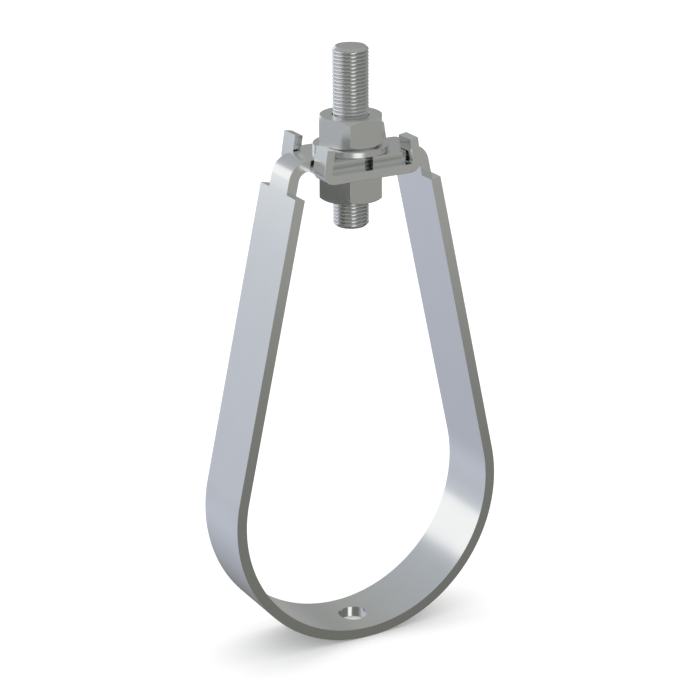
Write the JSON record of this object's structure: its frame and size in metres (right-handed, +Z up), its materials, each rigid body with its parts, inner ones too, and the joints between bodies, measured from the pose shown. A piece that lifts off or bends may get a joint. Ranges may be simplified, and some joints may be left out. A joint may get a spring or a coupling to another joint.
{
  "type": "sprinkler pipe hanger",
  "caption": "Pear-shaped strip hanger that carries a sprinkler pipe from a threaded stud, its heads locked by a folded saddle between nuts.",
  "frame": {"origin": "centre of the pipe's seat in the round bottom of the band", "axes": "+Y along the pipe, +Z up along the threaded stud, +X across the pipe towards one leg"},
  "size_m": [0.0838, 0.0246, 0.1723],
  "materials": {
    "pear_band": "bright zinc plate, satin, on bent strip",
    "locking_saddle": "bright zinc plate, satin, on folded strip",
    "clamp_washer": "bright zinc plate, smooth",
    "upper_nut": "zinc plate, smooth flats",
    "lower_nut": "zinc plate, smooth flats",
    "threaded_stud": "bright zinc plate on rolled thread"
  },
  "bodies": {
    "stud": {"threaded_stud": "threaded_stud"},
    "washer": {"clamp_washer": "clamp_washer"},
    "top_nut": {"upper_nut": "upper_nut"},
    "hanger": {"pear_band": "pear_band", "locking_saddle": "locking_saddle"},
    "bottom_nut": {"lower_nut": "lower_nut"}
  },
  "joints": [
    {"name": "washer_lift", "type": "slide", "parent": "stud", "child": "washer", "axis": [0, 0, 1], "range_m": [0, 0.0187]},
    {"name": "upper_nut_turn", "type": "hinge", "parent": "washer", "child": "top_nut", "pos_m": [0, 0, 0.1035], "axis": [0, 0, 1], "range_deg": [0, 6720]},
    {"name": "hanger_drop", "type": "slide", "parent": "stud", "child": "hanger", "axis": [0, 0, -1], "range_m": [0, 0.008]},
    {"name": "lower_nut_turn", "type": "hinge", "parent": "hanger", "child": "bottom_nut", "pos_m": [0, 0, 0.0962], "axis": [0, 0, -1], "range_deg": [0, 2881]}
  ],
  "couplings": [
    {"joint": "washer_lift", "follows": "upper_nut_turn", "m_per_rad": 0.00015915},
    {"joint": "lower_nut_turn", "follows": "hanger_drop", "rad_per_m": 6283.2}
  ]
}
